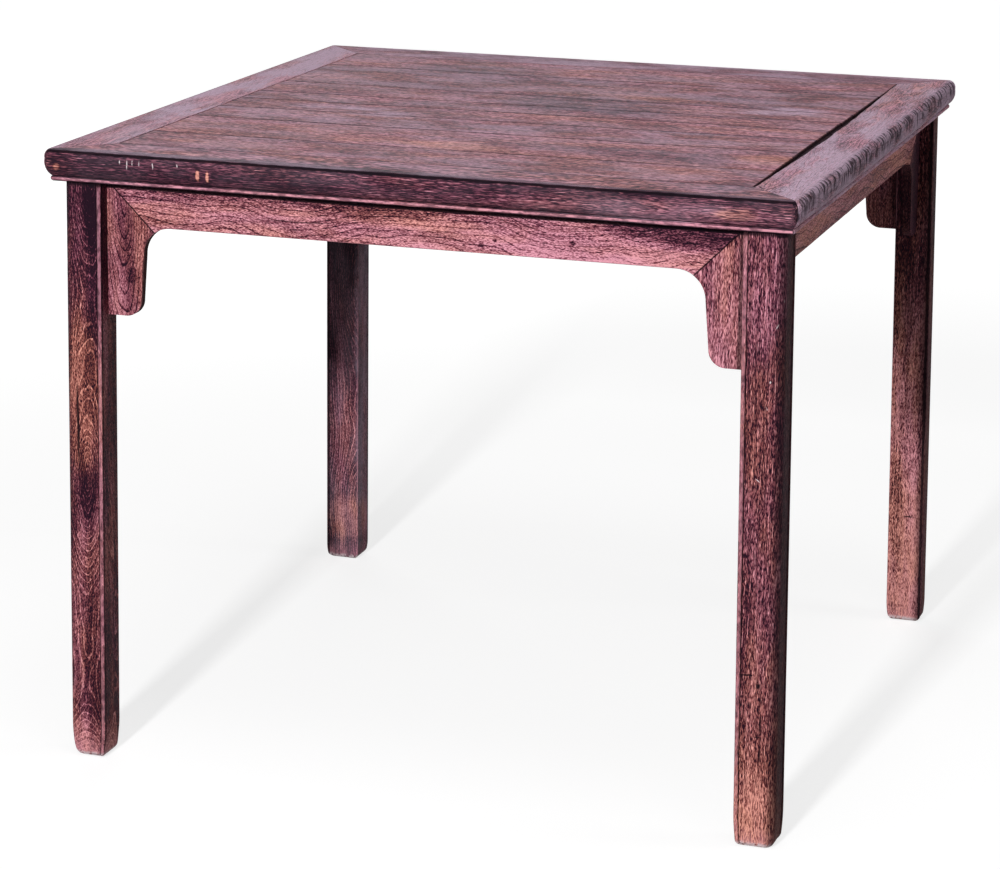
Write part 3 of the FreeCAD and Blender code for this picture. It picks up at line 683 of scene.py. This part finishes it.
def dress_frame_member(node, along, across, finish, bead_wear_and_highlight=BEAD_WEAR_AND_HIGHLIGHT, lip_wear=0.0):
    """Wears a frame member: rubbed along its arris, rubbed and painted with a highlight along its bead, dark
    in its mitres, and with painted shade in its groove and hollows
    """
    def mitre_rim(point):
        return at_top(point) and on_corner_mitre(point)

    def other_rim(point):
        return at_top(point) and not on_corner_mitre(point)

    # Paleness of the bead: rubbed wear with a painted highlight
    def frame_bead_rub_and_highlight(point):
        inset = TOP_HALF - abs(point[across])
        on_bead = point.z < top - BEAD_TOP_DEPTH - HAIR and inset < EDGE_FOOT_INSET - BEAD_CROWN
        return bead_wear_and_highlight if on_bead else 0.0

    # Painted shade in the hollow above the bead and in the line under it
    def bead_hollow_shade(point):
        inset = TOP_HALF - abs(point[across])
        at_foot = abs(inset - EDGE_FOOT_INSET) < HAIR and point.z < top - BEAD_TOP_DEPTH + HAIR
        return 1.0 if at_foot else 0.0

    # Painted shade inside the groove that holds the panel
    def groove_shade(point):
        inside = TOP_HALF - abs(point[across]) > GROOVE_EDGE_INSET
        return 1.0 if inside and top - GROOVE_BOTTOM_DEPTH < point.z < top - GROOVE_TOP_DEPTH else 0.0

    low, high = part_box(node)
    bm = copy_of(node)
    cut_across(bm, along, steps(low[along], high[along], STILE_STEP))
    ease(bm, sharp_edges(bm, mitre_rim), MITRE_EDGE, 0.0, "grime_and_shade")
    ease(bm, sharp_edges(bm, other_rim), STILE_EDGE, STILE_WEAR, "wear_and_highlight")
    mark_where(bm, "wear_and_highlight", frame_bead_rub_and_highlight)
    mark_where(bm, "grime_and_shade", bead_hollow_shade)
    mark_where(bm, "grime_and_shade", groove_shade)
    wear_lip_back(bm, along, across, lip_wear)
    finish_piece(bm, node + "_worn", node, finish)


stile_values = {"Rings": 320.0, "Flame": 4.0, "Line": 0.25, "Fibre": 0.40, "Streak": 0.14, "Shortness": 0.35}
right_corner = spot("GrimeAndShade", (0.5, -0.5, 0.815), (0.009, 0.009, 0.030), 0.8, sway=0.004)
# Pale ticks hanging from the front arris: place along it, height and half length of each
front_ticks = [(-0.389, 0.826, 0.004), (-0.379, 0.823, 0.008), (-0.371, 0.826, 0.005),
               (-0.362, 0.826, 0.004), (-0.343, 0.824, 0.006), (-0.309, 0.826, 0.003)]
# Orange chips below the arris: place along it, height, half width and half height, and how bare the wood is
front_chips = [(-0.281, 0.815, 0.0036, 0.009, 1.1), (-0.2675, 0.814, 0.0030, 0.009, 1.0),
               (-0.479, 0.814, 0.006, 0.006, 0.45)]
front_marks = []
for x, z, half_length in front_ticks:
    front_marks.append(spot("ScuffAndHighlight", (x, -0.5, z), (0.0010, 0.02, half_length), 0.7, sway=0.003))
for x, z, half_width, half_height, bareness in front_chips:
    size = (half_width, 0.02, half_height)
    front_marks += [spot("Tone", (x, -0.5, z), size, bareness, sway=0.004),
                    spot("Warmth", (x, -0.5, z), size, 1.5, sway=0.004, core=0.8)]
# Paler and dusty stretches of the front face
front_marks += [spot("Tone", (0.10, -0.5, 0.812), (0.26, 0.03, 0.030), 0.15),
                spot("Tone", (0.38, -0.5, 0.812), (0.16, 0.03, 0.024), 0.22),
                spot("Warmth", (0.422, -0.5, 0.815), (0.038, 0.03, 0.012), 0.9),
                spot("Tone", (0.422, -0.5, 0.815), (0.038, 0.03, 0.012), 0.12),
                spot("Dust", (0.33, -0.5, 0.812), (0.13, 0.03, 0.022), 0.65),
                right_corner]
# The top face is like the boards beside it, with a grey band and a black line along the arris
front_marks += [spot("Tone", (0, -0.44, top), (FAR, 0.055, 0.003), 0.42, sway=0.0, core=0.8),
                spot("Warmth", (0, -0.44, top), (FAR, 0.055, 0.003), 0.35, sway=0.0, core=0.8),
                spot("Fineness", (0, -0.44, top), (FAR, 0.055, 0.003), -0.76, sway=0.0, core=0.8),
                spot("Tone", (-0.30, -0.486, top), (0.60, 0.013, 0.004), -0.45, sway=0.004, core=0.4),
                spot("Dust", (-0.30, -0.486, top), (0.60, 0.013, 0.004), 0.12, sway=0.004, core=0.4),
                spot("GrimeAndShade", (0, -0.4955, top - 0.0030), (FAR, 0.0035, 0.0032), 1.0, sway=0.002, core=0.6),
                # A pale line just below the arris: worn flecks with a painted highlight
                spot("ScuffAndHighlight", (0.22, -0.4965, top - 0.0072), (0.40, 0.003, 0.0011), 0.6, sway=0.002)]
front_finish = rosewood("rosewood_front_stile", X, (0, -0.40, 0.70), 6.1, Tone=-0.42, Warmth=0.05, Dust=0.30,
                        Film=0.18, **stile_values, marks=front_marks)
back_finish = rosewood("rosewood_back_stile", X, (0, 0.40, 0.70), 8.8, Tone=-0.05, Warmth=0.1, Dust=0.55,
                       **stile_values)
dress_frame_member("front_stile", X, Y, front_finish)
dress_frame_member("back_stile", X, Y, back_finish)

# Battens: three cross bars under the panel, of plainer brown wood. A dovetailed ridge holds each to the
# boards, and a tenon at both ends goes into the stiles.
BATTEN_EDGE = 0.0015
for number, node in enumerate(("batten_left", "batten_middle", "batten_right")):
    low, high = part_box(node)
    finish = rosewood("batten_wood_%d" % number, Y, (low.x, 0, 0.70), 25.1 + number, Tone=0.0, Rings=150.0,
                      Flame=5.0, Line=0.2, Warmth=0.6)
    bm = copy_of(node)
    cut_across(bm, Y, steps(low.y, high.y, APRON_STEP))
    ease(bm, sharp_edges(bm, lambda point: point.z < low.z + HAIR), BATTEN_EDGE, APRON_WEAR, "wear_and_highlight")
    finish_piece(bm, node + "_worn", node, finish)

# Panel boards: eight boards of unequal width, tongued together and floating in the frame's grooves.
# Their faces are dull and dusty, with open joints and a gap at the right end where they have shrunk.
BOARD_STEP = 0.020
BOARD_EDGE = 0.0015
BOARD_WEAR = 0.0004
BOARD_END = 0.004
TONGUE_TOP = 0.0045
JOINT_LINE = 0.0026


def joint_lines(bm):
    """Dark lines along the two long edges of a board's face, which are not quite parallel"""
    face = [vert.co for vert in bm.verts if at_top(vert.co)]
    left = min(point.x for point in face)
    right = max(point.x for point in face)
    size = (FAR, JOINT_LINE, FAR)
    lines = []
    for pick in (min, max):
        start = pick(point.y for point in face if point.x < left + BOARD_END)
        end = pick(point.y for point in face if point.x > right - BOARD_END)
        middle = ((left + right) / 2, (start + end) / 2, top)
        turn = (0, 0, math.atan2(end - start, right - left))
        lines.append(spot("GrimeAndShade", middle, size, 0.45, turn, sway=0.0015, core=0.4))
        lines.append(spot("GrimeAndShade", middle, size, 0.50, turn, sway=0.0015, core=0.4, breaks=(5, 5, 5)))
    return lines


# Stains that run across the boards, and a thin dark line beside the left rail
panel_marks = [
    spot("Warmth", (-0.010, -0.290, top), (0.100, 0.035, 0.01), 0.9),
    spot("Tone", (-0.010, -0.290, top), (0.100, 0.035, 0.01), 0.12),
    spot("Warmth", (0.400, -0.240, top), (0.060, 0.040, 0.01), 0.9),
    spot("Tone", (0.400, -0.240, top), (0.060, 0.040, 0.01), 0.12),
    spot("Warmth", (0.060, 0.180, top), (0.180, 0.060, 0.01), 0.8),
    spot("Tone", (0.060, 0.080, top), (0.180, 0.080, 0.01), -0.32),
    spot("Tone", (0.250, -0.250, top), (0.140, 0.050, 0.01), -0.28),
    spot("Dust", (-0.240, -0.080, top), (0.120, 0.060, 0.01), 0.42),
    spot("Dust", (0.330, 0.120, top), (0.080, 0.050, 0.01), 0.34),
    spot("Tone", (-0.180, 0.330, top), (0.160, 0.060, 0.01), -0.28),
    spot("GrimeAndShade", (-0.4035, 0.117, top), (0.0018, 0.17, 0.01), 0.4, (0, 0, math.radians(-4.5)), sway=0.004)]
board_values = {"Rings": 130.0, "Flame": 6.0, "Line": 0.16, "Fibre": 0.36, "Streak": 0.15, "Shortness": 0.45,
                "Fineness": 0.36, "Warmth": 0.42}
# From the front board to the back one
board_tones = (0.01, 0.07, -0.03, 0.08, 0.00, 0.06, -0.02, 0.05)
board_dusts = (0.29, 0.24, 0.36, 0.22, 0.29, 0.26, 0.34, 0.28)
for number, (tone, dust) in enumerate(zip(board_tones, board_dusts), 1):
    node = "panel_board_%d" % number
    low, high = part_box(node)
    bm = copy_of(node)
    pith = (0, (low.y + high.y) / 2, 0.79)
    finish = rosewood("rosewood_" + node, X, pith, 40.7 + 3.3 * number, Tone=tone, Dust=dust, **board_values,
                      marks=panel_marks + joint_lines(bm))
    face_end = max(vert.co.x for vert in bm.verts if at_top(vert.co)) - HAIR
    cut_across(bm, X, steps(low.x, high.x, BOARD_STEP))
    ease(bm, sharp_edges(bm, at_top), BOARD_EDGE, BOARD_WEAR, "grime_and_shade")
    mark_where(bm, "grime_and_shade", lambda point: 1.0 if point.z < top - TONGUE_TOP + HAIR else 0.0)
    # Painted shade, as black, on each board's right end in the gap at the rail
    mark_where(bm, "grime_and_shade", lambda point: 1.0 if point.x > face_end else 0.0)
    finish_piece(bm, node + "_worn", node, finish)

# End rails: the left and right members of the frame, with the same moulding, mortised for the stiles.
# They are paler on top than the boards, and the right one is marked all along its outer edge, where a painted
# sheen lies on its upright faces.
RIGHT_LIP_WEAR = 0.0065
# How pale the right rail's bead is: rubbed wear with a painted highlight
RIGHT_BEAD_WEAR_AND_HIGHLIGHT = 0.25
rail_values = {"Rings": 330.0, "Flame": 12.0, "Line": 0.65, "Fibre": 0.48, "Streak": 0.2, "Shortness": 0.3}
left_marks = [
    spot("Dust", (-0.463, -0.42, top), (0.06, 0.24, 0.02), -0.50),
    spot("Tone", (-0.463, -0.42, top), (0.06, 0.24, 0.02), -0.14),
    spot("GrimeAndShade", (-0.4955, 0, top), (0.0065, FAR, 0.006), 0.45, sway=0.004)]
left_finish = rosewood("rosewood_left_end_rail", Y, (-0.44, 0, 0.81), 14.9, Tone=0.32, Warmth=0.1, Dust=0.97,
                       **rail_values, marks=left_marks)
right_marks = [
    right_corner,
    # A painted sheen on the right rail's outer face
    spot("Dust", (0.4960, 0, top - 0.014), (0.010, FAR, 0.024), 0.7, sway=0.006, core=0.3),
    spot("GrimeAndShade", (0.4960, 0, top - 0.012), (0.010, FAR, 0.022), 0.18, sway=0.006, core=0.3),
    spot("GrimeAndShade", (0.4960, 0, top - 0.010), (0.010, FAR, 0.020), 0.80, sway=0.005, core=0.3,
         breaks=(55, 140, 55)),
    spot("GrimeAndShade", (0.4340, -0.4265, top), (0.017, 0.0018, 0.01), 0.9, (0, 0, math.radians(-56)), sway=0.003),
    spot("GrimeAndShade", (0.4475, -0.4250, top), (0.016, 0.0018, 0.01), 0.9, (0, 0, math.radians(73)), sway=0.003),
    spot("Warmth", (0.45, 0.34, top), (0.05, 0.16, 0.02), 0.6),
    spot("Dust", (0.45, 0.34, top), (0.05, 0.16, 0.02), -0.25)]
# The right rail's dust share on upright faces lays a painted sheen on them
right_finish = rosewood("rosewood_right_end_rail", Y, (0.46, 0, 0.81), 18.2, Tone=0.18, Warmth=0.1, Dust=0.80,
                        Film=0.8, **rail_values, marks=right_marks)
dress_frame_member("left_end_rail", Y, X, left_finish)
dress_frame_member("right_end_rail", Y, X, right_finish, RIGHT_BEAD_WEAR_AND_HIGHLIGHT, RIGHT_LIP_WEAR)

# Corner pegs: four round pins that lock the corner tenons from below, whittled from hard straight wood.
# Only their ends show, flush with the underside of the frame.
peg_finish = rosewood("peg_wood", Z, (0, 0, 0), 33.9, Tone=0.2, Line=0.1)
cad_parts["corner_pegs"].data.materials[0] = peg_finish

# Studio: a wide pale floor under a pale sky, a low lamp in front, a soft one overhead for the top, weak
# ones at the right and behind, and a long lens from the right of the front.
FLOOR_HALF = 30.0
FLOOR_COLOUR = (0.35, 0.35, 0.35, 1)
FLOOR_GLOW_NEAR = 0.76
FLOOR_GLOW_FAR = 0.97
GLOW_REACH = (1.0, 4.0)
SKY_LEVEL = 0.05


def seen_directly(tree):
    """One for rays from the camera and for reflections, nothing for light that falls on the table"""
    rays = add(tree, "LightPath").outputs
    shown = maths(tree, "MAXIMUM", rays["Is Camera Ray"], rays["Is Glossy Ray"])
    return maths(tree, "MAXIMUM", shown, rays["Is Transmission Ray"])


bm = bmesh.new()
bmesh.ops.create_grid(bm, x_segments=1, y_segments=1, size=FLOOR_HALF)
floor_mesh = bpy.data.meshes.new("floor")
bm.to_mesh(floor_mesh)
bm.free()
floor = bpy.data.objects.new("floor", floor_mesh)
bpy.context.scene.collection.objects.link(floor)
floor_paint = bpy.data.materials.new("floor_paint")
floor_paint.use_nodes = True
tree = floor_paint.node_tree
tree.nodes.clear()
matt = add(tree, "BsdfDiffuse", FLOOR_COLOUR)
place = add(tree, "TexCoord").outputs["Object"]
away = add(tree, "VectorMath", place, operation="LENGTH").outputs["Value"]
glow_level = ramp(tree, away, *GLOW_REACH, FLOOR_GLOW_NEAR, FLOOR_GLOW_FAR)
glow = add(tree, "Emission", (1, 1, 1, 1), maths(tree, "MULTIPLY", seen_directly(tree), glow_level))
both = add(tree, "AddShader", matt.outputs[0], glow.outputs[0])
add(tree, "OutputMaterial", both.outputs[0])
floor_mesh.materials.append(floor_paint)

world = bpy.data.worlds.new("studio")
world.use_nodes = True
tree = world.node_tree
tree.nodes.clear()
level = ramp(tree, seen_directly(tree), 0.0, 1.0, SKY_LEVEL, 1.0)
sky = add(tree, "Background", (1, 1, 1, 1), level)
add(tree, "OutputWorld", sky.outputs[0])
bpy.context.scene.world = world


def lamp(name, azimuth, elevation, distance, size, level):
    """Square soft lamp aimed at the table: its level is the light a face turned to it gives back"""
    data = bpy.data.lights.new(name, "AREA")
    data.size = size
    data.energy = level * math.pi ** 2 * distance ** 2
    made = bpy.data.objects.new(name, data)
    bpy.context.scene.collection.objects.link(made)
    turn = math.radians(azimuth)
    rise = math.radians(elevation)
    toward = Vector((math.sin(turn) * math.cos(rise), -math.cos(turn) * math.cos(rise), math.sin(rise)))
    made.location = Vector((0, 0, top / 2)) + toward * distance
    made.rotation_euler = toward.to_track_quat("Z", "Y").to_euler()


lamp("key", azimuth=-0.5, elevation=19.3, distance=6.5, size=0.45, level=0.92)
lamp("overhead", azimuth=25, elevation=74, distance=4.0, size=1.6, level=0.22)
lamp("side", azimuth=98, elevation=25, distance=4.0, size=1.2, level=0.12)
lamp("back", azimuth=212, elevation=28, distance=4.5, size=2.6, level=0.16)

LENS = 109.96
SENSOR = 36.0
CAMERA_PLACE = Vector((1.30782, -3.98946, 1.5379))
CAMERA_FORWARD = Vector((-0.30903, 0.91262, -0.26764))
CAMERA_UP = Vector((-0.09219, 0.25134, 0.96350))
camera_data = bpy.data.cameras.new("camera")
camera_data.lens = LENS
camera_data.sensor_width = SENSOR
camera = bpy.data.objects.new("camera", camera_data)
bpy.context.scene.collection.objects.link(camera)
right = CAMERA_FORWARD.cross(CAMERA_UP).normalized()
up = right.cross(CAMERA_FORWARD).normalized()
turned = Matrix((right, up, -CAMERA_FORWARD.normalized())).transposed()
camera.matrix_world = Matrix.Translation(CAMERA_PLACE) @ turned.to_4x4()
bpy.context.scene.camera = camera
bpy.context.scene.view_settings.view_transform = "Standard"
